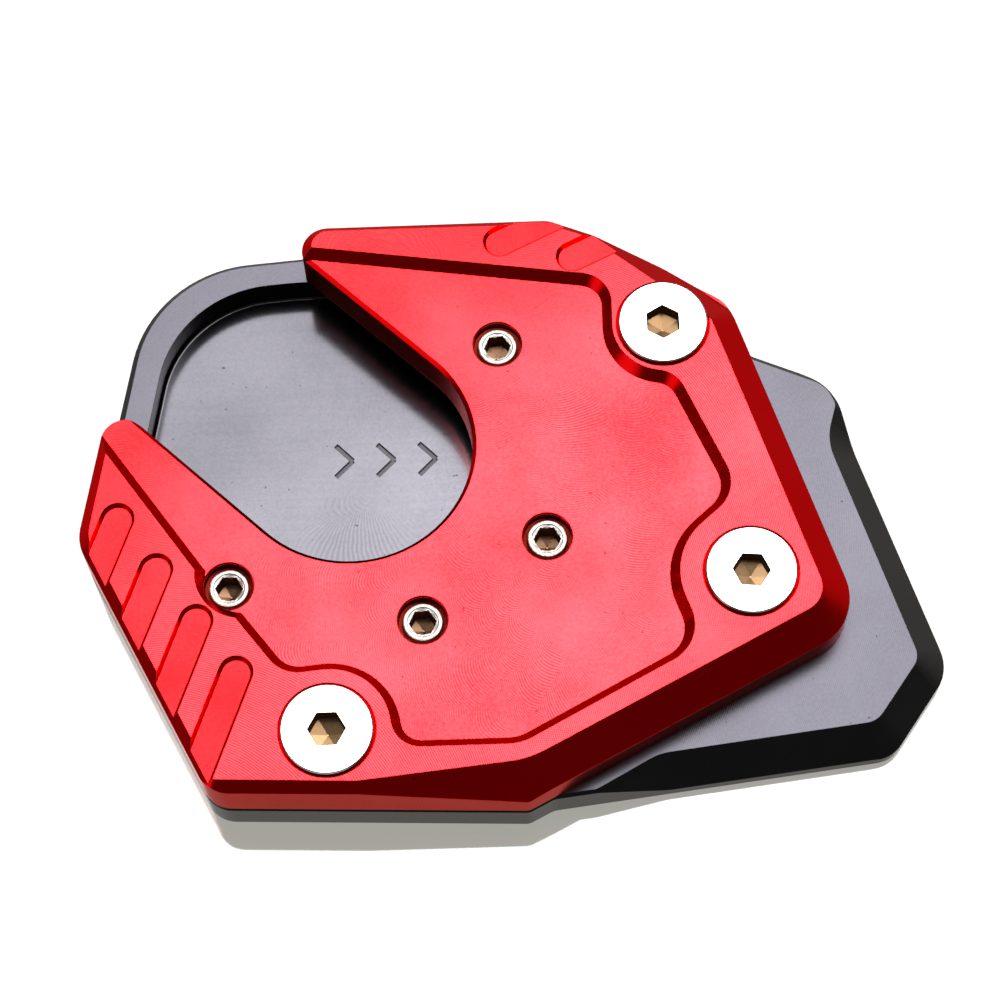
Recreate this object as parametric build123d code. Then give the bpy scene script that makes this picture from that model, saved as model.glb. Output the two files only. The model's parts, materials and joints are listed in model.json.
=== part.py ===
"""Clamp-on foot enlarger for a motorcycle kickstand.

Two machined plates close around the foot of the stand. The base plate has the pocket that the foot lies
in. The top plate reaches over the foot in a C, open where the stand's leg comes out, and three
countersunk screws hold it to the base plate. Four set screws in the top plate press the foot down.

Outlines are seen from above: x to the right, y to the back. All sizes are in millimetres.
"""
from build123d import *
import math
import os

# Plates
BASE_THICK = 5.8
TOP_THICK = 8.2
FULL_THICK = BASE_THICK + TOP_THICK
EDGE_BREAK = 0.45          # small chamfer on the edges that meet at the seam and on the floor
BEVEL_REACH = 4.3          # depth over which the 45 degree outer bevels can run out
BEVEL_ANGLE = 45.0

# Pocket for the foot, in the base plate
POCKET_DEPTH = 4.4
POCKET_FLOOR = BASE_THICK - POCKET_DEPTH
POCKET_FILLET = 0.4

# Lowered middle of the top plate
RECESS_DEPTH = 1.4
RECESS_FLOOR = FULL_THICK - RECESS_DEPTH
RECESS_WALL_ANGLE = 41.0

# Grip grooves
GROOVE_RADIUS = 2.15
GROOVE_DEPTH = 0.7
GROOVE_LENGTH = 24.0
GROOVE_DRAFT = 30.0

# Countersunk clamp screws, M6 x 12
THREAD_RADIUS = 3.0
CLAMP_LENGTH = 12.0
HEAD_RADIUS = 5.65
HEAD_PROUD = 0.55
HEAD_EDGE = 0.18
HEAD_LAND = 0.9
SINK_RADIUS = 6.0
CLAMP_HOLE_RADIUS = 3.3
CLAMP_HEX = 4.0
CLAMP_HEX_DEPTH = 2.2
SCREW_TIP = 0.6
THREAD_GAP = 0.04

# Set screws, M6 x 6
SET_LENGTH = 6.0
SET_BELOW_RECESS = 0.75
SET_HEX = 3.0
SET_HEX_DEPTH = 3.0
SET_LEAD = 0.55
SET_TIP = 1.0
SET_CUP_EDGE = 0.4
SET_HOLE_LEAD = 0.16

# Screw places, (x, y, turn of the hexagon)
CLAMP_SCREWS = {
    "clamp_screw_front": (-21.8, -29.06, 0.0),
    "clamp_screw_right": (30.43, -10.39, -5.0),
    "clamp_screw_rear": (21.31, 23.65, 30.0),
}
SET_SCREWS = {
    "set_screw_rear": (0.18, 22.12, 6.0),
    "set_screw_middle": (5.61, -4.4, 0.0),
    "set_screw_front": (-10.06, -14.91, 4.0),
    "set_screw_left": (-33.9, -9.67, -3.0),
}

# Corners of the plates, (x, y, corner radius), anticlockwise from the front left
FRONT_LEFT = (-36.2, -36.1, 4.0)
FRONT = (2.25, -37.67, 1.8)
LEFT = (-52.73, -3.25, 6.0)
BACK_RIGHT = [(30.0, 28.4, 4.8), (22.0, 33.2, 12.0), (7.1, 39.4, 4.0)]

TOP_OUTLINE = [
    FRONT_LEFT, FRONT, (44.2, -16.15, 7.2), *BACK_RIGHT,
    (-25.2, 39.2, 3.0), (-24.5, 34.9, 0.0), (-38.0, 31.0, 0.0), (-48.5, 19.0, 0.0), LEFT,
]
TOP_FACE = [
    (-35.5, -34.75, 0.8), (-18.3, -35.5, 6.0), (2.3, -33.45, 12.0), (39.72, -14.24, 3.5),
    (27.47, 24.11, 1.0), (12.7, 36.2, 3.0), (7.2, 38.38, 3.0), (-23.5, 38.42, 2.2),
    (-23.15, 32.0, 6.0), (-47.98, 15.0, 1.0), (-51.3, -3.15, 4.5),
]
BASE_OUTLINE = [
    FRONT_LEFT, FRONT, (5.35, -36.1, 3.0), (47.5, -31.1, 4.5), (55.4, -20.1, 5.5),
    (43.06, 18.45, 9.5), (31.6, 23.4, 2.0), *BACK_RIGHT,
    (-23.0, 39.1, 40.0), (-44.9, 37.4, 16.5), LEFT,
]
BASE_FACE = [
    (-35.75, -35.62, 3.6), (2.1, -37.2, 1.5), (5.1, -35.7, 6.0), (10.6, -35.05, 2.0),
    (18.4, -30.8, 7.0), (45.4, -27.57, 3.0), (51.3, -19.46, 2.6), (42.0, 10.3, 8.0),
    (43.5, 15.3, 1.5), (42.4, 18.0, 4.0), (31.8, 22.6, 4.6), (29.5, 28.2, 4.4), (21.8, 32.7, 12.0),
    (7.0, 38.8, 4.0), (-23.0, 38.55, 40.0), (-44.4, 36.8, 16.0), (-51.6, -3.0, 6.0),
]
POCKET = [
    (-30.0, -20.5, 5.0), (-8.0, -23.5, 7.0), (14.0, -23.0, 8.0), (21.0, -6.0, 8.0), (14.0, 17.0, 8.0),
    (4.0, 35.2, 7.0), (-26.0, 35.25, 30.0), (-41.6, 34.0, 15.5), (-47.6, 1.0, 9.0),
]
RECESS = [
    (1.5, -31.5, 6.0), (24.36, -19.39, 5.3), (20.26, -7.69, 8.68), (29.73, 0.5, 5.0),
    (22.65, 16.9, 4.0), (14.81, 18.0, 6.5), (15.0, 30.7, 4.2), (-32.0, 37.4, 0.0),
    (-58.0, 33.0, 0.0), (-57.0, 19.1, 0.0), (-38.1, -7.7, 0.0), (-32.9, -14.37, 0.0),
    (-27.2, -21.87, 4.5), (-15.33, -20.67, 7.53), (-13.6, -31.5, 3.7),
]
RECESS_EAR = (-32.0, -8.4, 6.0)      # round widening of the recess at the left set screw

# Opening for the leg: a slot with one round end that runs out between the arms
ARCH_CENTRE = (-18.67, 8.65)
ARCH_RADIUS = 15.35
ARCH_TURN = 136.7
ARCH_BREAK = 0.5
ARCH_RUNOUT = 60.0
ARM_TIP = (-48.9, 16.6, 0)    # near the corner between the front arm and the opening
ARM_TIP_RADIUS = 3.0

# Groove ends, (x, y), and the directions in which they run out
SIDE_GROOVES = [(-47.6, -0.8), (-42.7, -7.65), (-37.7, -14.5), (-32.8, -21.35)]
SIDE_GROOVE_TURN = -110.5
BACK_GROOVES = [(0.9, 36.1), (10.2, 33.6)]
BACK_GROOVE_TURN = 26.0

# Generic direction mark engraved in the pocket floor
MARK_CENTRE = (-13.6, 11.4)
MARK_COUNT = 3
MARK_PITCH = 5.4
MARK_ARM = 3.1
MARK_STROKE = 0.6
MARK_DEPTH = 0.3

STOCK = 200.0              # side of the blanks that the bevels are cut from


def outline(corners):
    """A face with straight sides and rounded corners."""
    points = [(x, y) for x, y, radius in corners]
    radii = [radius for x, y, radius in corners]
    return make_face(FilletPolyline(*points, radius=radii, close=True))


def slab(face, low, high):
    return extrude(Pos(0, 0, low) * face, amount=high - low)


def bevel_waste(face, top):
    """What a 45 degree cutter takes away when it follows a face's outline at the given height."""
    kept = Solid.extrude_taper((Pos(0, 0, top) * face).face(), (0, 0, -BEVEL_REACH), -BEVEL_ANGLE)
    blank = Pos(0, 0, top - BEVEL_REACH / 2) * Box(STOCK, STOCK, BEVEL_REACH)
    return blank - kept


def level_face(part, height):
    """The flat face of a part nearest to a height."""
    return part.faces().filter_by(Axis.Z).sort_by(lambda f: abs(f.center().Z - height))[0]


def outer_edges(part, height):
    """The edges around the outside of a part at one height."""
    return level_face(part, height).outer_wire().edges()


def arch_face(radius):
    """The leg opening as a flat shape, with the given radius of its round end."""
    run = Pos(ARCH_RUNOUT / 2, 0) * Rectangle(ARCH_RUNOUT, 2 * radius)
    return Pos(*ARCH_CENTRE) * Rot(0, 0, ARCH_TURN) * (Circle(radius) + run)


def arch_break(part):
    """What the chamfer along the leg opening takes away from the recess floor."""
    under_floor = extrude(level_face(part, RECESS_FLOOR), amount=ARCH_BREAK, dir=(0, 0, -1))
    wide = Pos(0, 0, RECESS_FLOOR) * arch_face(ARCH_RADIUS + ARCH_BREAK)
    return extrude(wide, amount=-ARCH_BREAK, taper=BEVEL_ANGLE) & under_floor


def hexagon_socket(width, depth):
    """A hexagon socket below z = 0 with the cone that its drill leaves."""
    flats = width / 2
    drill = Pos(0, 0, -depth - flats / 4) * Cone(0, flats, flats / 2)
    hexagon = extrude(RegularPolygon(flats, 6, major_radius=False), amount=-depth)
    return hexagon + drill


def turned(points):
    """A solid turned about the z axis from its (radius, height) outline."""
    profile = make_face(Polyline(*[(radius, 0, height) for radius, height in points], close=True))
    return revolve(profile, Axis.Z)


def clamp_screw():
    """A countersunk screw with its head's top face at z = 0."""
    cone_end = -HEAD_LAND - (HEAD_RADIUS - THREAD_RADIUS)
    shape = turned([
        (0, 0), (HEAD_RADIUS - HEAD_EDGE, 0), (HEAD_RADIUS, -HEAD_EDGE), (HEAD_RADIUS, -HEAD_LAND),
        (THREAD_RADIUS, cone_end), (THREAD_RADIUS, SCREW_TIP - CLAMP_LENGTH),
        (THREAD_RADIUS - SCREW_TIP, -CLAMP_LENGTH), (0, -CLAMP_LENGTH),
    ])
    return shape - hexagon_socket(CLAMP_HEX, CLAMP_HEX_DEPTH)


def set_screw():
    """A set screw with a cup point and its top face at z = 0."""
    cup = THREAD_RADIUS - SET_TIP - SET_CUP_EDGE
    shape = turned([
        (0, 0), (THREAD_RADIUS - SET_LEAD, 0), (THREAD_RADIUS, -SET_LEAD),
        (THREAD_RADIUS, SET_TIP - SET_LENGTH), (THREAD_RADIUS - SET_TIP, -SET_LENGTH),
        (cup, -SET_LENGTH), (0, cup / 2 - SET_LENGTH),
    ])
    return shape - hexagon_socket(SET_HEX, SET_HEX_DEPTH)


def groove(x, y, turn):
    """A round-ended grip groove that starts at a point and runs out over the edge."""
    run = Pos(GROOVE_LENGTH / 2, 0) * Rectangle(GROOVE_LENGTH, 2 * GROOVE_RADIUS)
    shape = Pos(x, y, FULL_THICK) * Rot(0, 0, turn) * (Circle(GROOVE_RADIUS) + run)
    return extrude(shape, amount=-GROOVE_DEPTH, taper=GROOVE_DRAFT)


def top_plate():
    face = outline(TOP_OUTLINE) - arch_face(ARCH_RADIUS)
    tip = face.vertices().sort_by_distance(ARM_TIP)[0]
    face = fillet(tip, ARM_TIP_RADIUS)
    plate = slab(face, BASE_THICK, FULL_THICK)
    plate = chamfer(outer_edges(plate, BASE_THICK), EDGE_BREAK)
    plate -= bevel_waste(outline(TOP_FACE), FULL_THICK)
    plate -= extrude(Pos(0, 0, FULL_THICK) * outline(RECESS), amount=-RECESS_DEPTH, taper=RECESS_WALL_ANGLE)
    ear_x, ear_y, ear_radius = RECESS_EAR
    shrink = RECESS_DEPTH * math.tan(math.radians(RECESS_WALL_ANGLE))
    ear = Cone(ear_radius - shrink, ear_radius, RECESS_DEPTH)
    plate -= Pos(ear_x, ear_y, FULL_THICK - RECESS_DEPTH / 2) * ear
    plate -= arch_break(plate)
    for x, y in SIDE_GROOVES:
        plate -= groove(x, y, SIDE_GROOVE_TURN)
    for x, y in BACK_GROOVES:
        plate -= groove(x, y, BACK_GROOVE_TURN)
    for x, y, turn in CLAMP_SCREWS.values():
        sink = Pos(0, 0, -SINK_RADIUS / 2) * Cone(0, SINK_RADIUS, SINK_RADIUS)
        plate -= Pos(x, y, FULL_THICK) * sink
        plate -= Pos(x, y, FULL_THICK - TOP_THICK / 2) * Cylinder(CLAMP_HOLE_RADIUS, TOP_THICK)
    for x, y, turn in SET_SCREWS.values():
        hole_radius = THREAD_RADIUS + THREAD_GAP
        plate -= Pos(x, y, FULL_THICK - TOP_THICK / 2) * Cylinder(hole_radius, TOP_THICK)
        lead = Cone(hole_radius, hole_radius + SET_HOLE_LEAD, SET_HOLE_LEAD)
        plate -= Pos(x, y, RECESS_FLOOR - SET_HOLE_LEAD / 2) * lead
    return plate


def chevron():
    """One chevron of the direction mark, pointing along x."""
    arm = Pos(-MARK_ARM / 2, 0) * Rectangle(MARK_ARM, MARK_STROKE)
    return Rot(0, 0, 45) * arm + Rot(0, 0, -45) * arm


def base_plate():
    plate = slab(outline(BASE_OUTLINE), 0, BASE_THICK)
    plate = chamfer(outer_edges(plate, 0), EDGE_BREAK)
    plate -= bevel_waste(outline(BASE_FACE), BASE_THICK)
    plate -= slab(outline(POCKET), POCKET_FLOOR, BASE_THICK)
    plate = fillet(level_face(plate, POCKET_FLOOR).edges(), POCKET_FILLET)
    for x, y, turn in CLAMP_SCREWS.values():
        plate -= Pos(x, y, BASE_THICK / 2) * Cylinder(THREAD_RADIUS + THREAD_GAP, BASE_THICK)
    for number in range(MARK_COUNT):
        x = MARK_CENTRE[0] + (number - (MARK_COUNT - 1) / 2) * MARK_PITCH
        mark = Pos(x, MARK_CENTRE[1], POCKET_FLOOR) * chevron()
        plate -= extrude(mark, amount=-MARK_DEPTH)
    return plate


def build():
    """All the pieces by name, with the origin under the middle of the plates."""
    pieces = {"base_plate": base_plate(), "top_plate": top_plate()}
    for name, (x, y, turn) in CLAMP_SCREWS.items():
        pieces[name] = Pos(x, y, FULL_THICK + HEAD_PROUD) * Rot(0, 0, turn) * clamp_screw()
    for name, (x, y, turn) in SET_SCREWS.items():
        pieces[name] = Pos(x, y, RECESS_FLOOR - SET_BELOW_RECESS) * Rot(0, 0, turn) * set_screw()
    middle = pieces["base_plate"].bounding_box().add(pieces["top_plate"].bounding_box()).center()
    return {name: Pos(-middle.X, -middle.Y, 0) * piece for name, piece in pieces.items()}


os.makedirs("parts", exist_ok=True)
for name, piece in build().items():
    export_step(piece, f"parts/{name}.step")
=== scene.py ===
"""Looks of the kickstand foot enlarger: materials, threaded screws, floor, light and camera."""
import json
import math

import bmesh
import bpy
from mathutils import Matrix, Vector


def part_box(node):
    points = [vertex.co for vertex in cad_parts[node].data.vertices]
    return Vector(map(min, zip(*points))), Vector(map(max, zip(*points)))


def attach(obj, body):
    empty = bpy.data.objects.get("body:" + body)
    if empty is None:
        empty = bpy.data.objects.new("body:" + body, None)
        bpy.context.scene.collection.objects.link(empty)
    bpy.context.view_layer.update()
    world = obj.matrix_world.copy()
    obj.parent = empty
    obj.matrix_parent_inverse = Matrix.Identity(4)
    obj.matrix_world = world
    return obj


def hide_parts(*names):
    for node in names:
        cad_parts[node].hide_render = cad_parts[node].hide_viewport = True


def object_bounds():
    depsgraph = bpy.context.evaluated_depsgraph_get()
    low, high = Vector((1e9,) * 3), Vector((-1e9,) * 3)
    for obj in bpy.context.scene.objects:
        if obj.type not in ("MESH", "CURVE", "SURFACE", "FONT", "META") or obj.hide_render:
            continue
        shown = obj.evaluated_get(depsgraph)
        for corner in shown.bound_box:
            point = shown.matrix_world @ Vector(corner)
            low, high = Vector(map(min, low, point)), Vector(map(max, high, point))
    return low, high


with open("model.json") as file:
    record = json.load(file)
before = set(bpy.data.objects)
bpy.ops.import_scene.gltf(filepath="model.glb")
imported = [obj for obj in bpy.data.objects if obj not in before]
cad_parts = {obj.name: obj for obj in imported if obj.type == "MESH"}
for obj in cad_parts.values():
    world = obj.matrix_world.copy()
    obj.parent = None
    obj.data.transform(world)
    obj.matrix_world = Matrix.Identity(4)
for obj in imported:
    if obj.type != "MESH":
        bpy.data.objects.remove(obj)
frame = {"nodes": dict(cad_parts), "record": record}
cad_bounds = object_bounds()

MM = 0.001
TAU = 2 * math.pi

record = frame["record"]
opening = next(o for o in record["physics"]["openings"] if o["name"] == "leg_opening")
arch_low, arch_high = (Vector(corner) for corner in opening["box_m"])
ARCH_CENTRE = (arch_low + arch_high) / 2
# Upright walls nearer the leg opening than this get the bevels' dark red as painted shade
ARCH_PAINTED_SHADE_REACH = 20 * MM

# Heights of the milled faces
RIM_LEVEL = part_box("top_plate")[1].z
GROOVE_LEVEL = RIM_LEVEL - 0.7 * MM
BASE_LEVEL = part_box("base_plate")[1].z
POCKET_LEVEL = BASE_LEVEL - 4.4 * MM
MARK_LEVEL = POCKET_LEVEL - 0.3 * MM

# Chatter marks on the pocket floor
CHATTER_AHEAD = 10 * MM
CHATTER_RADIUS = 8 * MM

# Level and upright faces, told by the upward part of their normal
LEVEL_NORMAL = 0.97
UPRIGHT_NORMAL = 0.1

# Finish that both plates share
BEVEL_ROUGHNESS = 0.20
CUTTER_MARK_HEIGHT = 0.004 * MM

# Screws
SEGMENTS = 72
SHARP_ANGLE = math.radians(12)
THREAD_PITCH = 1.0 * MM
THREAD_DEPTH = 0.55 * MM
THREAD_STEPS = 12
MAJOR_RADIUS = 2.98 * MM
MOUTH_SLOPE = 0.6
SOCKET_POINT = 0.1 * MM
SOCKET_SLOPE = math.radians(13)


# ---------------------------------------------------------------- shader helpers

class Shader:
    """A node material that is written as nested calls."""

    def __init__(self, name):
        self.material = bpy.data.materials.new(name)
        self.material.use_nodes = True
        self.tree = self.material.node_tree
        self.tree.nodes.clear()
        coords = self.tree.nodes.new("ShaderNodeTexCoord")
        self.point = coords.outputs["Object"]
        self.normal = coords.outputs["Normal"]

    def plug(self, socket, value):
        if isinstance(value, bpy.types.NodeSocket):
            self.tree.links.new(value, socket)
        else:
            socket.default_value = value

    def node(self, kind, inputs=None, **settings):
        made = self.tree.nodes.new(kind)
        for key, value in settings.items():
            setattr(made, key, value)
        for key, value in (inputs or {}).items():
            self.plug(made.inputs[key], value)
        return made

    def math(self, operation, *values):
        made = self.node("ShaderNodeMath", operation=operation)
        for socket, value in zip(made.inputs, values):
            self.plug(socket, value)
        return made.outputs[0]

    def add(self, *values):
        total = values[0]
        for value in values[1:]:
            total = self.math("ADD", total, value)
        return total

    def times(self, a, b):
        return self.math("MULTIPLY", a, b)

    def minus(self, a, b):
        return self.math("SUBTRACT", a, b)

    def over(self, a, b):
        return self.math("DIVIDE", a, b)

    def separate(self, vector):
        made = self.node("ShaderNodeSeparateXYZ", {0: vector})
        return made.outputs["X"], made.outputs["Y"], made.outputs["Z"]

    def length(self, x, y):
        return self.math("SQRT", self.add(self.times(x, x), self.times(y, y)))

    def stretched(self, x, y, z):
        """The object's own coordinates, scaled differently along each axis."""
        scaled = self.node("ShaderNodeVectorMath", {0: self.point, 1: (x, y, z)}, operation="MULTIPLY")
        return scaled.outputs[0]

    def noise(self, scale, detail=2.0, roughness=0.5, vector=None):
        inputs = {"Vector": vector or self.point, "Scale": scale, "Detail": detail, "Roughness": roughness}
        return self.node("ShaderNodeTexNoise", inputs).outputs["Fac"]

    def centred(self, value, gain):
        """A value about 0.5 turned into one about 0."""
        return self.times(self.minus(value, 0.5), gain)

    def ramp(self, value, low, high, start=0.0, end=1.0):
        """value from low..high mapped to start..end and held at the ends."""
        inputs = {0: value, 1: low, 2: high, 3: start, 4: end}
        return self.node("ShaderNodeMapRange", inputs, clamp=True).outputs[0]

    def band(self, value, middle, half_width):
        """1 where value is within half_width of the middle, 0 elsewhere."""
        return self.math("LESS_THAN", self.math("ABSOLUTE", self.minus(value, middle)), half_width)

    def wave(self, phase):
        """A wave from 0 to 1, once for each whole step of the phase."""
        return self.math("MULTIPLY_ADD", self.math("SINE", self.times(phase, TAU)), 0.5, 0.5)

    def mix(self, factor, a, b):
        """A mix of two numbers."""
        return self.node("ShaderNodeMix", {0: factor, 2: a, 3: b}, data_type="FLOAT").outputs[0]

    def colour(self, factor, a, b):
        """A mix of two colours."""
        made = self.node("ShaderNodeMix", data_type="RGBA", clamp_factor=True)
        self.plug(made.inputs[0], factor)
        self.plug(made.inputs[6], a)
        self.plug(made.inputs[7], b)
        return made.outputs[2]

    def multiplied_colour(self, colour, factor, low, high):
        """A colour multiplied by low to high as the factor goes from 0 to 1."""
        made = self.node("ShaderNodeMix", data_type="RGBA", blend_type="MULTIPLY")
        self.plug(made.inputs[0], 1.0)
        self.plug(made.inputs[6], colour)
        self.plug(made.inputs[7], self.colour(factor, (*low, 1.0), (*high, 1.0)))
        return made.outputs[2]

    def edge_wear_and_highlight(self, radius):
        """1 along sharp edges, within about the given radius of them, and 0 elsewhere: the mask of edge wear
        and painted edge highlight.
        """
        rounded = self.node("ShaderNodeBevel", {"Radius": radius}, samples=6).outputs[0]
        true = self.node("ShaderNodeNewGeometry").outputs["True Normal"]
        match = self.node("ShaderNodeVectorMath", {0: rounded, 1: true}, operation="DOT_PRODUCT")
        return self.ramp(match.outputs["Value"], 0.99, 0.8)

    def finish(self, bump, bump_height, edge, **inputs):
        """Closes the material: a bump of the given height, on edges rounded by the given radius."""
        rounded = self.node("ShaderNodeBevel", {"Radius": edge}, samples=6).outputs[0]
        normal = self.node("ShaderNodeBump", {"Height": bump, "Distance": bump_height, "Normal": rounded})
        surface = self.node("ShaderNodeBsdfPrincipled")
        self.plug(surface.inputs["Normal"], normal.outputs[0])
        for key, value in inputs.items():
            self.plug(surface.inputs[key.replace("_", " ")], value)
        output = self.node("ShaderNodeOutputMaterial")
        self.tree.links.new(surface.outputs[0], output.inputs["Surface"])
        return self.material


def swirl_marks(shader, lane, radius, pitch, waver):
    """Marks of a cutter that circles the leg opening lane by lane, 0 to 1 across each mark."""
    x, y = shader.separate(shader.point)[:2]
    across = shader.minus(x, ARCH_CENTRE.x)
    along = shader.minus(y, ARCH_CENTRE.y)
    reach = shader.add(shader.length(across, along), shader.centred(shader.noise(60, 1), lane * 2.4))
    turn = shader.math("ARCTAN2", along, across)
    index = shader.math("FLOOR", shader.over(reach, lane))
    middle = shader.times(shader.add(index, 0.5), lane)
    offset = shader.minus(reach, middle)
    bulge = shader.math("SQRT", shader.minus(radius**2, shader.times(offset, offset)))
    travelled = shader.add(shader.times(turn, middle), bulge)
    phase = shader.add(
        shader.over(travelled, pitch), shader.times(shader.noise(350, 1), waver), shader.times(index, 0.37),
    )
    return shader.wave(phase)


def hatch_marks(shader, angle, bow, pitch, waver=1.2):
    """Marks of a straight pass at an angle, bowed to a large radius, 0 to 1 across each mark."""
    x, y = shader.separate(shader.point)[:2]
    along = shader.add(shader.times(x, math.cos(angle)), shader.times(y, math.sin(angle)))
    across = shader.minus(shader.times(y, math.cos(angle)), shader.times(x, math.sin(angle)))
    bowed = shader.add(along, shader.over(shader.times(across, across), bow))
    return shader.wave(shader.add(shader.over(bowed, pitch), shader.times(shader.noise(500, 2), waver)))


def edge_stripes(shader, pitch):
    """Fine stripes that run down the bevels and walls, square to their edges, 0 to 1 across each stripe."""
    x, y = shader.separate(shader.point)[:2]
    nx, ny = shader.separate(shader.normal)[:2]
    flat = shader.math("MAXIMUM", shader.length(nx, ny), 0.05)
    run = shader.over(shader.minus(shader.times(y, nx), shader.times(x, ny)), flat)
    return shader.wave(shader.add(shader.over(run, pitch), shader.times(shader.noise(260, 2), 2.2)))


def anodised(name, dye_and_shade, low, high, worn_and_highlit, rim, level_marks, edge):
    """Machined and anodised aluminium, paler along its edges, partly as scuffed wear and partly as a painted
    highlight.

    dye_and_shade gives the colour and roughness of each face, the colour with painted shade where the light
    falls off, and level_marks the cutter marks of the flat ones, from (shader, height). low and high are what
    the colour is multiplied by across a mark, a swing that partly paints the marks' micro-shading, and rim is
    the colour of reflections at a grazing angle.
    """
    shader = Shader(name)
    height = shader.separate(shader.point)[2]
    level = shader.math("GREATER_THAN", shader.separate(shader.normal)[2], LEVEL_NORMAL)
    stripes = shader.add(shader.centred(edge_stripes(shader, 0.42 * MM), 0.3), 0.5)
    marks = shader.mix(level, stripes, level_marks(shader, height))
    cloud = shader.noise(70, 3)
    grain = shader.noise(2400, 2, 0.6)
    # Cutter marks whose colour swing partly paints their micro-shading, with random cloud and grain tone
    tone_and_mark_shade = shader.add(marks, shader.centred(cloud, 1.7), shader.centred(grain, shader.mix(level, 0.3, 1.0)))
    colour, rough = dye_and_shade(shader, height, level)
    colour = shader.multiplied_colour(colour, tone_and_mark_shade, low, high)
    pits = shader.ramp(shader.noise(1700, 0), 0.85, 0.88)
    colour = shader.multiplied_colour(colour, pits, (1.0, 1.0, 1.0), (0.4, 0.4, 0.4))
    # Pale edges broken up by scuffs: partly wear, partly a painted highlight along the edges
    scuffs = shader.ramp(shader.noise(900, 3), 0.35, 0.6)
    wear_and_highlight = shader.times(shader.edge_wear_and_highlight(edge), scuffs)
    colour = shader.colour(wear_and_highlight, colour, worn_and_highlit)
    rough = shader.add(rough, shader.centred(marks, 0.03), shader.centred(cloud, 0.05))
    rough = shader.add(rough, shader.times(wear_and_highlight, 0.1))
    return shader.finish(
        marks, CUTTER_MARK_HEIGHT, edge, Base_Color=colour, Roughness=rough, Metallic=1.0, Specular_Tint=rim,
    )


def painted_falloff_back_left(shader):
    """0 over most of the object, rising to 1 at its back left: the mask of the painted shade where the
    softbox's light falls off.
    """
    x, y = shader.separate(shader.point)[:2]
    return shader.ramp(shader.minus(y, shader.times(x, 0.6)), 5 * MM, 38 * MM)


def red_marks(shader, height):
    wide = swirl_marks(shader, 5.2 * MM, 4.0 * MM, 0.36 * MM, 0.8)
    narrow = swirl_marks(shader, 3.3 * MM, 2.9 * MM, 0.29 * MM, 1.6)
    recess = shader.mix(shader.ramp(shader.noise(160, 1), 0.45, 0.55), wide, narrow)
    patch = shader.ramp(shader.noise(110, 2), 0.38, 0.62, 0.25, 1.0)
    recess = shader.mix(patch, 0.5, recess)
    rim = hatch_marks(shader, math.radians(50), 60 * MM, 0.30 * MM)
    crossed = hatch_marks(shader, math.radians(-70), 40 * MM, 0.24 * MM)
    rim = shader.add(shader.centred(shader.mix(0.4, rim, crossed), 1.8), 0.5)
    groove = hatch_marks(shader, math.radians(-20), 9 * MM, 0.4 * MM)
    marks = shader.mix(shader.band(height, RIM_LEVEL, 0.1 * MM), recess, rim)
    in_groove = shader.band(height, GROOVE_LEVEL, 0.02 * MM)
    return shader.mix(in_groove, marks, shader.mix(0.6, 0.5, groove))


RED_FACE = (0.90, 0.0275, 0.0345, 1.0)
# Deeper red of the grooves, also used as painted shade at the back left, where the light falls off
RED_GROOVE_AND_PAINTED_FALLOFF = (0.90, 0.0138, 0.0172, 1.0)
# Deep red of the bevels, also painted as shade on the inner walls of the leg opening
RED_BEVEL = (0.80, 0.0020, 0.0030, 1.0)
RED_SIDE = (0.74, 0.0550, 0.0350, 1.0)
RED_ROUGHNESS = 0.29


def red_dye_and_shade(shader, height, level):
    """Painted shade at the back left, where the softbox's light falls off, and deeper in the grooves, deepest
    on the bevels, paler on the upright outer walls, and painted as dark as the bevels on the inner walls of
    the leg opening, a painted shade that dims their reflection.
    """
    x, y = shader.separate(shader.point)[:2]
    in_groove = shader.band(height, GROOVE_LEVEL, 0.02 * MM)
    # Painted shade at the back left where the light falls off, together with the deeper red of the grooves
    groove_and_painted_falloff = shader.math("MAXIMUM", painted_falloff_back_left(shader), in_groove)
    upright = shader.math("LESS_THAN", shader.separate(shader.normal)[2], UPRIGHT_NORMAL)
    face = shader.colour(groove_and_painted_falloff, RED_FACE, RED_GROOVE_AND_PAINTED_FALLOFF)
    across = shader.minus(x, ARCH_CENTRE.x)
    # Upright walls within reach of the leg opening keep the bevels' dark red: painted shade that dims their
    # reflection
    outside = shader.math("GREATER_THAN", shader.length(across, shader.minus(y, ARCH_CENTRE.y)), ARCH_PAINTED_SHADE_REACH)
    outer_wall = shader.times(upright, outside)
    side = shader.colour(outer_wall, RED_BEVEL, RED_SIDE)
    return shader.colour(level, side, face), shader.mix(level, BEVEL_ROUGHNESS, RED_ROUGHNESS)


def chattered(shader):
    """1 where the cutter chattered in the pocket, ahead of the middle of the leg opening, 0.08 elsewhere."""
    x, y = shader.separate(shader.point)[:2]
    away = shader.length(shader.minus(x, ARCH_CENTRE.x), shader.minus(y, ARCH_CENTRE.y - CHATTER_AHEAD))
    ragged = shader.add(away, shader.centred(shader.noise(250, 2), 8 * MM))
    return shader.ramp(ragged, CHATTER_RADIUS, CHATTER_RADIUS * 0.4, 0.08, 1.0)


def black_marks(shader, height):
    feather = swirl_marks(shader, 6.0 * MM, 4.6 * MM, 0.55 * MM, 1.0)
    brushed = shader.noise(1, 2, 0.5, vector=shader.stretched(60, 1700, 60))
    patch = chattered(shader)
    pocket = shader.mix(patch, shader.mix(0.5, 0.5, brushed), feather)
    face = hatch_marks(shader, math.radians(20), 80 * MM, 0.32 * MM)
    in_pocket = shader.band(height, POCKET_LEVEL, 0.5 * MM)
    return shader.mix(in_pocket, shader.mix(0.5, 0.5, face), pocket)


BLACK_FACE = (0.067, 0.064, 0.076, 1.0)
BLACK_FLOOR = (0.088, 0.085, 0.096, 1.0)
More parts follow.
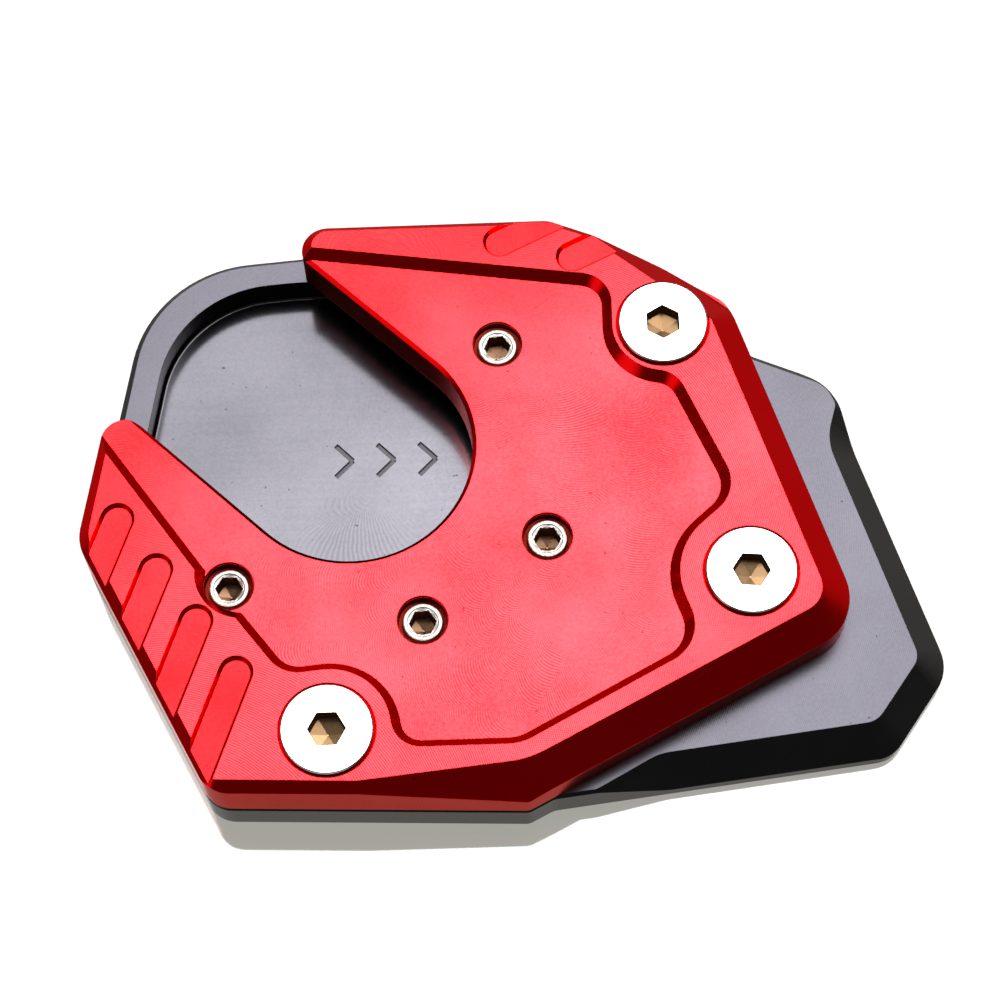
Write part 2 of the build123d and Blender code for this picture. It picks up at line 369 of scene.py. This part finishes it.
# Pocket floor at the back left: painted shade where the light falls off
BLACK_FLOOR_PAINTED_FALLOFF = (0.064, 0.062, 0.071, 1.0)
BLACK_MARK = (0.035, 0.034, 0.038, 1.0)
BLACK_BEVEL = (0.050, 0.048, 0.050, 1.0)
BLACK_ROUGHNESS = 0.28
FLOOR_ROUGHNESS = 0.15
CHATTER_ROUGHNESS = 0.25


def black_dye_and_shade(shader, height, level):
    """Paler and smoother on the pocket floor, with painted shade at the floor's back left, darker on bevels
    and walls, darkest in the engraved mark.
    """
    in_pocket = shader.band(height, POCKET_LEVEL, 0.1 * MM)
    engraved = shader.band(height, MARK_LEVEL, 0.15 * MM)
    # The pocket floor darkens towards the back left as painted shade
    floor = shader.colour(painted_falloff_back_left(shader), BLACK_FLOOR, BLACK_FLOOR_PAINTED_FALLOFF)
    colour = shader.colour(in_pocket, BLACK_FACE, floor)
    colour = shader.colour(engraved, colour, BLACK_MARK)
    colour = shader.colour(level, BLACK_BEVEL, colour)
    floor_rough = shader.mix(chattered(shader), FLOOR_ROUGHNESS, CHATTER_ROUGHNESS)
    face_rough = shader.mix(in_pocket, BLACK_ROUGHNESS, floor_rough)
    return colour, shader.mix(level, BEVEL_ROUGHNESS, face_rough)


def steel(name, dark, bright, roughness, dent, edge):
    """Turned steel: rings about the screw's own axis, fine dents and streaks."""
    shader = Shader(name)
    x, y = shader.separate(shader.point)[:2]
    phase = shader.add(shader.over(shader.length(x, y), 0.15 * MM), shader.times(shader.noise(300, 2), 0.8))
    rings = shader.wave(phase)
    cloud = shader.noise(700, 4, 0.6)
    colour = shader.colour(shader.add(shader.times(rings, 0.35), shader.times(cloud, 0.65)), dark, bright)
    rough = shader.add(shader.centred(cloud, 0.2), roughness)
    relief = shader.add(shader.times(rings, 0.12), cloud)
    return shader.finish(relief, dent, edge, Base_Color=colour, Metallic=1.0, Roughness=rough)


# ---------------------------------------------------------------- screws

def hexagon_reach(angle, flat):
    """Distance from the axis to the side of a hexagon with the given half width across flats."""
    sector = TAU / 6
    return flat / math.cos(angle % sector - sector / 2)


def ring_of(reach, height):
    """One ring of points. reach and height are numbers or functions of the angle."""
    points = []
    for step in range(SEGMENTS):
        angle = TAU * step / SEGMENTS
        away = reach(angle) if callable(reach) else reach
        up = height(angle) if callable(height) else height
        points.append(Vector((away * math.cos(angle), away * math.sin(angle), up)))
    return points


def thread_rings(start, end):
    """Rings of a right-handed thread from a higher to a lower height, fading out at both ends."""
    rings = []
    count = round((start - end) / THREAD_PITCH * THREAD_STEPS)
    for row in range(count + 1):
        height = start + (end - start) * row / count
        fade = min(1.0, row / THREAD_STEPS, (count - row) / THREAD_STEPS)

        def reach(angle):
            phase = (height / THREAD_PITCH - angle / TAU) % 1.0
            tooth = min(1.0, max(0.0, 2.6 * abs(phase - 0.5) - 0.15))
            return MAJOR_RADIUS - THREAD_DEPTH * tooth * fade

        rings.append(ring_of(reach, height))
    return rings


def socket_bottom(flat, depth):
    """Height of the point at the bottom of a hexagon socket."""
    return -depth - flat * math.tan(SOCKET_SLOPE)


def socket_rings(flat, depth, mouth):
    """A hexagon socket from its pointed bottom up to its mouth at height 0.

    A round mouth, given by its radius, cuts a cone into the hexagon; mouth 0 only breaks the hexagon's edge.
    """
    edge = 0.07 * MM

    def side(angle):
        return hexagon_reach(angle, flat)

    def below_mouth(angle):
        return (side(angle) - mouth) * MOUTH_SLOPE

    rings = [ring_of(SOCKET_POINT, socket_bottom(flat, depth)), ring_of(side, -depth)]
    if mouth:
        return rings + [ring_of(side, below_mouth), ring_of(mouth, 0)]
    return rings + [ring_of(side, -edge), ring_of(lambda angle: side(angle) + edge, 0)]


def lathe(name, sections, first, last):
    """A closed mesh of stacked rings between two end points. sections is a list of (material, rings)."""
    materials = []
    rows = []
    band_material = []
    mesh = bmesh.new()
    for material, rings in sections:
        if material not in materials:
            materials.append(material)
        for ring in rings:
            rows.append([mesh.verts.new(point) for point in ring])
            band_material.append(materials.index(material))
    start = mesh.verts.new((0, 0, first))
    end = mesh.verts.new((0, 0, last))
    for step in range(SEGMENTS):
        following = (step + 1) % SEGMENTS
        mesh.faces.new((start, rows[0][step], rows[0][following])).material_index = band_material[0]
        mesh.faces.new((end, rows[-1][following], rows[-1][step])).material_index = band_material[-1]
        for index in range(1, len(rows)):
            upper, lower = rows[index - 1], rows[index]
            face = mesh.faces.new((upper[step], lower[step], lower[following], upper[following]))
            face.material_index = band_material[index]
            face.smooth = True
    bmesh.ops.recalc_face_normals(mesh, faces=mesh.faces)
    data = bpy.data.meshes.new(name)
    mesh.to_mesh(data)
    mesh.free()
    data.set_sharp_from_angle(angle=SHARP_ANGLE)
    for material in materials:
        data.materials.append(material)
    piece = bpy.data.objects.new(name, data)
    bpy.context.scene.collection.objects.link(piece)
    return piece


def place_screw(piece, node, body, turn):
    """Puts a screw made with its top face at height 0 where its CAD node is."""
    low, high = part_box(node)
    middle = (low + high) / 2
    piece.matrix_world = Matrix.Translation((middle.x, middle.y, high.z)) @ Matrix.Rotation(turn, 4, "Z")
    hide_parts(node)
    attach(piece, body)


def clamp_screw(node, turn, polished, raw, socket):
    """A countersunk screw with a flat polished head and a 4 mm socket."""
    low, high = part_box(node)
    length = high.z - low.z
    head = (high.x - low.x) / 2
    edge, land, tip = 0.18 * MM, 0.9 * MM, 0.6 * MM
    flat, depth = 2.0 * MM, 2.2 * MM
    cone_end = -land - (head - MAJOR_RADIUS)
    sections = [
        (socket, socket_rings(flat, depth, 0)),
        (polished, [ring_of(head - edge, 0), ring_of(head - edge * 0.4, -edge * 0.3), ring_of(head, -edge)]),
        (raw, [ring_of(head, -land), ring_of(MAJOR_RADIUS, cone_end)]),
        (raw, thread_rings(cone_end - 0.1 * MM, tip - length) + [ring_of(MAJOR_RADIUS - tip, -length)]),
    ]
    piece = lathe(node + "_turned", sections, socket_bottom(flat, depth), -length)
    place_screw(piece, node, "plates", turn)


def set_screw(node, body, turn, polished, raw, socket):
    """A cup-point set screw with a 3 mm socket that has a countersunk mouth."""
    low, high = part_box(node)
    length = high.z - low.z
    lead, tip, mouth = 0.55 * MM, 1.0 * MM, 1.92 * MM
    cup_edge, cup_depth = 0.4 * MM, 0.8 * MM
    flat, depth = 1.5 * MM, 3.0 * MM
    crown = MAJOR_RADIUS - lead
    hexagon = socket_rings(flat, depth, mouth)
    sections = [
        (socket, hexagon[:3]),
        (polished, [ring_of(mouth, -0.09 * MM), ring_of(mouth + 0.07 * MM, 0)]),
        (polished, [ring_of(crown - 0.22 * MM, 0), ring_of(crown - 0.09 * MM, -0.03 * MM)]),
        (polished, [ring_of(crown, -0.1 * MM)]),
        (raw, [ring_of(MAJOR_RADIUS, -lead)] + thread_rings(-lead - 0.05 * MM, tip - length)),
        (raw, [ring_of(MAJOR_RADIUS - tip, -length), ring_of(MAJOR_RADIUS - tip - cup_edge, -length)]),
    ]
    piece = lathe(node + "_threaded", sections, socket_bottom(flat, depth), cup_depth - length)
    place_screw(piece, node, body, turn)


# ---------------------------------------------------------------- stage

CAMERA_DISTANCE = 0.3507
CAMERA_ELEVATION = math.radians(67.63)
CAMERA_ROLL = math.radians(-1.85)
CAMERA_LENS = 101.81
CAMERA_AIM = Vector((-1.29, -0.80, 0)) * MM

SOFTBOX_PLACE = (0.035, 0.225, 0.565)
SOFTBOX_WIDTH = 0.49
SOFTBOX_HEIGHT = 0.40
SOFTBOX_RADIANCE = 6.4

WINDOW_DIRECTION = (-0.82, -0.54, 0.24)
WINDOW_STRENGTH = 0.95
ROOM_STRENGTH = 0.10

FLOOR_RADIUS = 3.0
FLOOR_COLOUR = (0.09, 0.088, 0.08, 1)
DUST_COLOUR = (0.05, 0.05, 0.045, 1)
FLOOR_GLOW = (1.0, 0.985, 0.90, 1)
FLOOR_GLOW_STRENGTH = 0.36


def add_camera():
    data = bpy.data.cameras.new("camera")
    data.sensor_width = 36
    data.lens = CAMERA_LENS
    data.clip_start = 0.01
    data.clip_end = 20
    camera = bpy.data.objects.new("camera", data)
    bpy.context.scene.collection.objects.link(camera)
    aim = Vector((CAMERA_AIM.x, CAMERA_AIM.y, RIM_LEVEL))
    back = Vector((0, -math.cos(CAMERA_ELEVATION), math.sin(CAMERA_ELEVATION)))
    turned = (-back).to_track_quat("-Z", "Y").to_matrix().to_4x4()
    roll = Matrix.Rotation(CAMERA_ROLL, 4, "Z")
    camera.matrix_world = Matrix.Translation(aim + back * CAMERA_DISTANCE) @ turned @ roll
    bpy.context.scene.camera = camera


def add_softbox(name, place, width, height, radiance):
    """An evenly bright softbox that faces the object."""
    data = bpy.data.lights.new(name, "AREA")
    data.shape = "RECTANGLE"
    data.size = width
    data.size_y = height
    data.energy = radiance * math.pi * width * height
    light = bpy.data.objects.new(name, data)
    light.location = place
    light.rotation_euler = (-Vector(place)).to_track_quat("-Z", "Y").to_euler()
    bpy.context.scene.collection.objects.link(light)


def add_floor():
    """A glossy pale table top that glows a little of its own."""
    shader = Shader("pale_floor")
    dust = shader.ramp(shader.noise(700, 1), 0.80, 0.84)
    colour = shader.colour(dust, FLOOR_COLOUR, DUST_COLOUR)
    rough = shader.add(shader.times(shader.noise(30, 2), 0.03), 0.03)
    material = shader.finish(
        0.5, 0.0, 0.0, Base_Color=colour, Roughness=rough, IOR=2.0,
        Emission_Color=FLOOR_GLOW, Emission_Strength=FLOOR_GLOW_STRENGTH,
    )
    ground = (0, 0, cad_bounds[0].z)
    bpy.ops.mesh.primitive_circle_add(vertices=96, radius=FLOOR_RADIUS, fill_type="NGON", location=ground)
    floor = bpy.context.object
    floor.name = "floor"
    floor.data.materials.append(material)


def set_world():
    """A dim room with a window low on the left, and a pale backdrop for the camera."""
    world = bpy.data.worlds.new("studio")
    world.use_nodes = True
    tree = world.node_tree
    tree.nodes.clear()

    def node(kind, **settings):
        made = tree.nodes.new(kind)
        for key, value in settings.items():
            setattr(made, key, value)
        return made

    def glow(direction, low, high, strength):
        """Light from around a direction: none below the low cosine and full above the high one."""
        match = node("ShaderNodeVectorMath", operation="DOT_PRODUCT")
        tree.links.new(coords.outputs["Generated"], match.inputs[0])
        match.inputs[1].default_value = Vector(direction).normalized()
        ramp = node("ShaderNodeMapRange", interpolation_type="SMOOTHSTEP")
        tree.links.new(match.outputs["Value"], ramp.inputs[0])
        for socket, value in zip(ramp.inputs[1:5], (low, high, 0.0, strength)):
            socket.default_value = value
        return ramp.outputs[0]

    def add(a, b):
        total = node("ShaderNodeMath", operation="ADD")
        for socket, value in zip(total.inputs, (a, b)):
            if isinstance(value, bpy.types.NodeSocket):
                tree.links.new(value, socket)
            else:
                socket.default_value = value
        return total.outputs[0]

    coords = node("ShaderNodeTexCoord")
    light = add(glow(WINDOW_DIRECTION, 0.93, 0.99, WINDOW_STRENGTH), ROOM_STRENGTH)
    room = node("ShaderNodeBackground")
    tree.links.new(light, room.inputs["Strength"])
    backdrop = node("ShaderNodeBackground")
    backdrop.inputs[0].default_value = (0.9, 0.9, 0.9, 1)
    path = node("ShaderNodeLightPath")
    mixed = node("ShaderNodeMixShader")
    output = node("ShaderNodeOutputWorld")
    tree.links.new(path.outputs["Is Camera Ray"], mixed.inputs[0])
    tree.links.new(room.outputs[0], mixed.inputs[1])
    tree.links.new(backdrop.outputs[0], mixed.inputs[2])
    tree.links.new(mixed.outputs[0], output.inputs[0])
    room.inputs[0].default_value = (1, 1, 1, 1)
    bpy.context.scene.world = world


# ---------------------------------------------------------------- the object

# The edge colours below are partly scuffed wear and partly a painted highlight
red = anodised(
    "red_anodised", red_dye_and_shade, low=(0.95, 0.50, 0.50), high=(1.03, 1.55, 1.55), worn_and_highlit=(1.0, 0.20, 0.20, 1),
    rim=(1.0, 0.55, 0.55, 1), level_marks=red_marks, edge=0.16 * MM,
)
black = anodised(
    "black_anodised", black_dye_and_shade, low=(0.84, 0.84, 0.84), high=(1.16, 1.16, 1.16), worn_and_highlit=(0.20, 0.20, 0.21, 1),
    rim=(1.0, 1.0, 1.0, 1), level_marks=black_marks, edge=0.12 * MM,
)
bright = steel("bright_steel", (0.80, 0.79, 0.78, 1), (0.95, 0.95, 0.94, 1), 0.16, 0.0008 * MM, 0.05 * MM)
nickel = steel("nickel_steel", (0.32, 0.29, 0.24, 1), (0.88, 0.86, 0.80, 1), 0.30, 0.10 * MM, 0.05 * MM)
raw = steel("raw_steel", (0.26, 0.235, 0.20, 1), (0.42, 0.39, 0.35, 1), 0.24, 0.003 * MM, 0.03 * MM)
tan = steel("socket_steel_tan", (0.17, 0.095, 0.045, 1), (0.36, 0.225, 0.115, 1), 0.30, 0.004 * MM, 0.03 * MM)
brown = steel(
    "socket_steel_brown", (0.12, 0.055, 0.035, 1), (0.34, 0.19, 0.11, 1), 0.30, 0.006 * MM, 0.03 * MM,
)

for node_name, material in (("top_plate", red), ("base_plate", black)):
    plate = frame["nodes"][node_name]
    plate.data.materials.clear()
    plate.data.materials.append(material)

for node_name, degrees in (("clamp_screw_front", 0), ("clamp_screw_right", -5), ("clamp_screw_rear", 30)):
    clamp_screw(node_name, math.radians(degrees), bright, raw, tan)
for side, degrees in (("rear", 6), ("middle", 0), ("front", 4), ("left", -3)):
    set_screw(f"set_screw_{side}", f"{side}_set_screw", math.radians(degrees), nickel, raw, brown)

add_camera()
add_floor()
set_world()
add_softbox("key_softbox", SOFTBOX_PLACE, SOFTBOX_WIDTH, SOFTBOX_HEIGHT, SOFTBOX_RADIANCE)
bpy.context.scene.view_settings.view_transform = "Standard"
